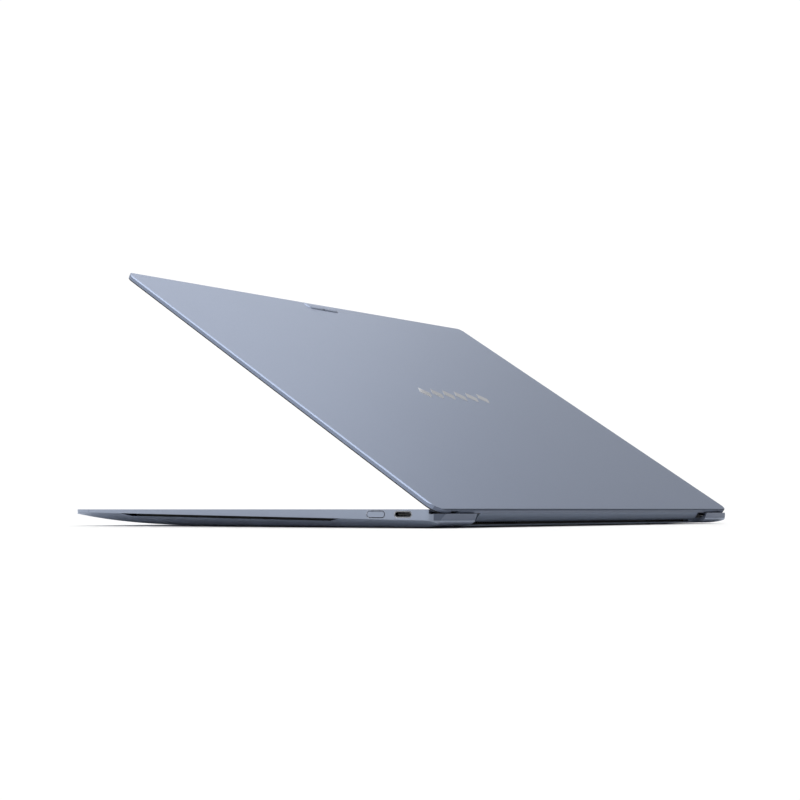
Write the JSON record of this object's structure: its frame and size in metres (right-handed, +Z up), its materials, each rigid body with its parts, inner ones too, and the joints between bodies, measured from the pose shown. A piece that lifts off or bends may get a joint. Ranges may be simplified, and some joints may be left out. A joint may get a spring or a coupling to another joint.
{
  "type": "laptop computer",
  "caption": "Thin clamshell laptop computer with a lid on a rear hinge, full keyboard, touchpad, side sockets and a rounded, tapering base.",
  "frame": {"origin": "under the middle of the base's footprint, on the surface that the feet stand on", "axes": "+X to the user's right, +Y back towards the hinge, +Z up; the lid stands 32.5 degrees open"},
  "size_m": [0.31, 0.221, 0.1259],
  "materials": {
    "anodised_lid": "bead-blasted, anodised grey-blue satin",
    "anodised_case": "bead-blasted, anodised grey-blue satin",
    "anodised_bottom": "bead-blasted, anodised, darker grey-blue",
    "spine_finish": "satin dark grey-blue",
    "foot_rubber": "matt black",
    "steel": "nickel plated",
    "socket_steel": "drawn and plated",
    "grille_black": "black mesh",
    "plate_metal": "black paint",
    "black_film": "matt film",
    "touchpad_finish": "fine satin",
    "key_plastic": "fine moulded texture",
    "black_plastic": "moulded black",
    "circuit_board": "solder mask",
    "chip_metal": "stamped shield",
    "copper": "bare copper",
    "fan_plastic": "moulded",
    "battery_film": "black wrap",
    "gasket_rubber": "soft black",
    "display_back": "black",
    "display_front": "glossy black glass",
    "emblem_metal": "mirror polished"
  },
  "bodies": {
    "base": {"top_case": "anodised_case", "bottom_cover": "anodised_bottom", "front_feet": "foot_rubber", "rear_foot": "foot_rubber", "bottom_screws": "steel", "side_grilles": "grille_black", "exhaust_grille": "grille_black", "keyboard_plate": "plate_metal", "key_membrane": "black_film", "touchpad_module": "circuit_board", "power_switch": "black_plastic", "right_socket_shell": "socket_steel", "right_socket_tongue": "black_plastic", "left_socket_shells": "socket_steel", "left_socket_tongues": "black_plastic", "mainboard": "circuit_board", "processor": "chip_metal", "memory_chips": "black_plastic", "storage_drive": "black_plastic", "wireless_card": "chip_metal", "heat_pipe": "copper", "cooling_fins": "copper", "fan_housings": "black_plastic", "battery_cells": "battery_film", "battery_board": "circuit_board", "speakers": "black_plastic", "hinge_base_leaves": "steel"},
    "lid": {"lid_cover": "anodised_lid", "hinge_cover": "spine_finish", "display_gasket": "gasket_rubber", "display_panel": "display_back", "display_glass": "display_front", "camera_module": "circuit_board", "emblem": "emblem_metal", "hinge_lid_leaves": "steel", "hinge_pins": "steel", "hinge_screws": "steel"},
    "pad": {"touchpad": "touchpad_finish"},
    "power": {"power_button": "anodised_case"},
    "fan_left": {"left_fan": "fan_plastic"},
    "fan_right": {"right_fan": "fan_plastic"},
    "escape_key_body": {"escape_key": "key_plastic"},
    "function_keys_body": {"function_keys": "key_plastic"},
    "number_keys_body": {"number_keys": "key_plastic"},
    "backspace_key_body": {"backspace_key": "key_plastic"},
    "upper_keys_body": {"upper_keys": "key_plastic"},
    "tab_key_body": {"tab_key": "key_plastic"},
    "home_keys_body": {"home_keys": "key_plastic"},
    "caps_lock_key_body": {"caps_lock_key": "key_plastic"},
    "enter_key_body": {"enter_key": "key_plastic"},
    "lower_keys_body": {"lower_keys": "key_plastic"},
    "left_shift_key_body": {"left_shift_key": "key_plastic"},
    "right_shift_key_body": {"right_shift_key": "key_plastic"},
    "modifier_keys_body": {"modifier_keys": "key_plastic"},
    "space_bar_body": {"space_bar": "key_plastic"},
    "left_arrow_key_body": {"left_arrow_key": "key_plastic"},
    "up_arrow_key_body": {"up_arrow_key": "key_plastic"},
    "down_arrow_key_body": {"down_arrow_key": "key_plastic"},
    "right_arrow_key_body": {"right_arrow_key": "key_plastic"}
  },
  "joints": [
    {"name": "lid_hinge", "type": "hinge", "parent": "base", "child": "lid", "pos_m": [0, 0.1052, 0.00836], "axis": [-1, 0, 0], "range_deg": [-32.5, 105]},
    {"name": "escape_press", "type": "slide", "parent": "base", "child": "escape_key_body", "axis": [0, 0, -1], "range_m": [0, 0.0011], "stiffness_N_per_m": 450, "springref_m": -0.0004},
    {"name": "function_press", "type": "slide", "parent": "base", "child": "function_keys_body", "axis": [0, 0, -1], "range_m": [0, 0.0011], "stiffness_N_per_m": 3000, "springref_m": -0.0004},
    {"name": "number_press", "type": "slide", "parent": "base", "child": "number_keys_body", "axis": [0, 0, -1], "range_m": [0, 0.0011], "stiffness_N_per_m": 3000, "springref_m": -0.0004},
    {"name": "backspace_press", "type": "slide", "parent": "base", "child": "backspace_key_body", "axis": [0, 0, -1], "range_m": [0, 0.0011], "stiffness_N_per_m": 450, "springref_m": -0.0004},
    {"name": "upper_press", "type": "slide", "parent": "base", "child": "upper_keys_body", "axis": [0, 0, -1], "range_m": [0, 0.0011], "stiffness_N_per_m": 3000, "springref_m": -0.0004},
    {"name": "tab_press", "type": "slide", "parent": "base", "child": "tab_key_body", "axis": [0, 0, -1], "range_m": [0, 0.0011], "stiffness_N_per_m": 450, "springref_m": -0.0004},
    {"name": "home_press", "type": "slide", "parent": "base", "child": "home_keys_body", "axis": [0, 0, -1], "range_m": [0, 0.0011], "stiffness_N_per_m": 3000, "springref_m": -0.0004},
    {"name": "caps_lock_press", "type": "slide", "parent": "base", "child": "caps_lock_key_body", "axis": [0, 0, -1], "range_m": [0, 0.0011], "stiffness_N_per_m": 450, "springref_m": -0.0004},
    {"name": "enter_press", "type": "slide", "parent": "base", "child": "enter_key_body", "axis": [0, 0, -1], "range_m": [0, 0.0011], "stiffness_N_per_m": 450, "springref_m": -0.0004},
    {"name": "lower_press", "type": "slide", "parent": "base", "child": "lower_keys_body", "axis": [0, 0, -1], "range_m": [0, 0.0011], "stiffness_N_per_m": 3000, "springref_m": -0.0004},
    {"name": "left_shift_press", "type": "slide", "parent": "base", "child": "left_shift_key_body", "axis": [0, 0, -1], "range_m": [0, 0.0011], "stiffness_N_per_m": 450, "springref_m": -0.0004},
    {"name": "right_shift_press", "type": "slide", "parent": "base", "child": "right_shift_key_body", "axis": [0, 0, -1], "range_m": [0, 0.0011], "stiffness_N_per_m": 450, "springref_m": -0.0004},
    {"name": "modifier_press", "type": "slide", "parent": "base", "child": "modifier_keys_body", "axis": [0, 0, -1], "range_m": [0, 0.0011], "stiffness_N_per_m": 3000, "springref_m": -0.0004},
    {"name": "space_press", "type": "slide", "parent": "base", "child": "space_bar_body", "axis": [0, 0, -1], "range_m": [0, 0.0011], "stiffness_N_per_m": 450, "springref_m": -0.0004},
    {"name": "left_arrow_press", "type": "slide", "parent": "base", "child": "left_arrow_key_body", "axis": [0, 0, -1], "range_m": [0, 0.0011], "stiffness_N_per_m": 450, "springref_m": -0.0004},
    {"name": "up_arrow_press", "type": "slide", "parent": "base", "child": "up_arrow_key_body", "axis": [0, 0, -1], "range_m": [0, 0.0011], "stiffness_N_per_m": 450, "springref_m": -0.0004},
    {"name": "down_arrow_press", "type": "slide", "parent": "base", "child": "down_arrow_key_body", "axis": [0, 0, -1], "range_m": [0, 0.0011], "stiffness_N_per_m": 450, "springref_m": -0.0004},
    {"name": "right_arrow_press", "type": "slide", "parent": "base", "child": "right_arrow_key_body", "axis": [0, 0, -1], "range_m": [0, 0.0011], "stiffness_N_per_m": 450, "springref_m": -0.0004},
    {"name": "touchpad_press", "type": "slide", "parent": "base", "child": "pad", "axis": [0, 0, -1], "range_m": [0, 0.00025], "stiffness_N_per_m": 6000, "springref_m": -0.0002},
    {"name": "power_press", "type": "slide", "parent": "base", "child": "power", "axis": [-1, 0, 0], "range_m": [0, 0.00035], "stiffness_N_per_m": 4000, "springref_m": -0.0002},
    {"name": "left_fan_spin", "type": "hinge", "parent": "base", "child": "fan_left", "pos_m": [-0.094, 0.0635, 0.003], "axis": [0, 0, 1], "continuous": true},
    {"name": "right_fan_spin", "type": "hinge", "parent": "base", "child": "fan_right", "pos_m": [0.094, 0.0635, 0.003], "axis": [0, 0, 1], "continuous": true}
  ]
}
